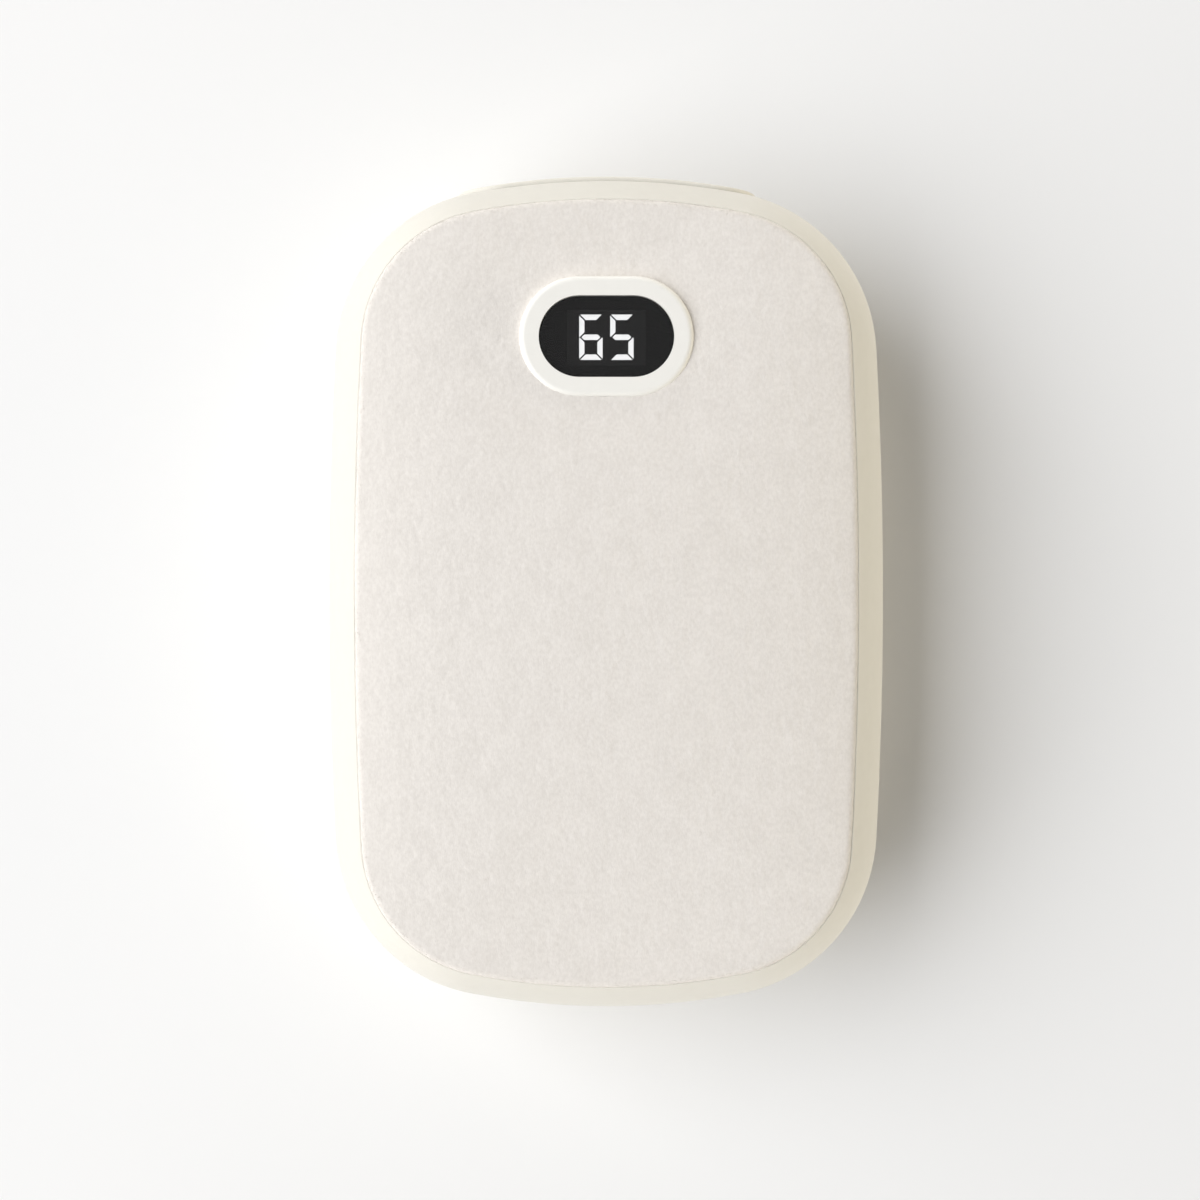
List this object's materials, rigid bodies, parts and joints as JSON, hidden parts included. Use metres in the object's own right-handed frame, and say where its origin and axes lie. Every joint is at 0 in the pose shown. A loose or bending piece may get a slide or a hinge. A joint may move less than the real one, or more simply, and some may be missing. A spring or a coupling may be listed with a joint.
{
  "type": "rechargeable hand warmer",
  "caption": "Pebble-shaped pocket hand warmer with plush fabric pads on both faces, an oval temperature display, and an end panel with a press button and a charging socket.",
  "frame": {"origin": "middle of the rear pad's flat face, on which the warmer lies", "axes": "+X across the body to the right, +Y along it towards the end panel, +Z out of the front pad"},
  "size_m": [0.066, 0.0984, 0.0294],
  "materials": {
    "shell_plastic": "fine satin moulded texture, warm cream",
    "button_plastic": "satin moulded, same cream as the shells",
    "pad_fabric": "short plush nap, warm cream",
    "lens_smoke": "polished smoked acrylic",
    "lit_digit": "white light bars",
    "dark_digit": "unlit light bars",
    "display_black": "black display block",
    "gasket_foam": "black closed-cell foam",
    "heat_plate": "rolled sheet",
    "heater_film": "amber heater film",
    "felt": "grey needled felt",
    "board_laminate": "green solder mask",
    "chip_black": "moulded chip package",
    "ferrite": "pressed ferrite block",
    "capacitor_body": "fired ceramic",
    "steel": "plated steel",
    "socket_plastic": "black moulded tongue",
    "switch_black": "black switch body",
    "plunger_white": "white switch plunger",
    "cell_pouch": "silver laminate pouch",
    "cell_foam": "dark foam sheet",
    "tray_plastic": "natural moulded plastic",
    "red_sleeve": "silicone lead sleeve",
    "black_sleeve": "silicone lead sleeve",
    "white_sleeve": "silicone lead sleeve"
  },
  "bodies": {
    "housing": {"front_shell": "shell_plastic", "rear_shell": "shell_plastic", "end_panel": "shell_plastic", "display_bezel": "shell_plastic", "front_pad": "pad_fabric", "rear_pad": "pad_fabric", "display_lens": "lens_smoke", "lit_segments": "lit_digit", "unlit_segments": "dark_digit", "display_module": "display_black", "display_gasket": "gasket_foam", "display_pins": "steel", "front_heat_plate": "heat_plate", "rear_heat_plate": "heat_plate", "front_heater_film": "heater_film", "rear_heater_film": "heater_film", "front_insulation": "felt", "rear_insulation": "felt", "thermistors": "chip_black", "main_board": "board_laminate", "charge_chip": "chip_black", "power_inductor": "ferrite", "heater_transistors": "chip_black", "board_capacitors": "capacitor_body", "usb_shell": "steel", "usb_tongue": "socket_plastic", "tact_switch": "switch_black", "front_cell": "cell_pouch", "rear_cell": "cell_pouch", "cell_foam_pads": "cell_foam", "cell_tabs": "steel", "protection_board": "board_laminate", "cell_tray": "tray_plastic", "positive_battery_lead": "red_sleeve", "negative_battery_lead": "black_sleeve", "front_heater_leads": "white_sleeve", "rear_heater_leads": "white_sleeve", "case_screws": "steel", "board_screws": "steel"},
    "button": {"power_button": "button_plastic"},
    "plunger": {"switch_plunger": "plunger_white"}
  },
  "joints": [
    {"name": "button_press", "type": "slide", "parent": "housing", "child": "button", "axis": [0, -1, 0], "range_m": [0, 0.0005], "stiffness_N_per_m": 2000, "springref_m": -0.0005},
    {"name": "plunger_press", "type": "slide", "parent": "housing", "child": "plunger", "axis": [0, -1, 0], "range_m": [0, 0.0005]}
  ],
  "couplings": [
    {"joint": "plunger_press", "follows": "button_press", "ratio": 1}
  ]
}
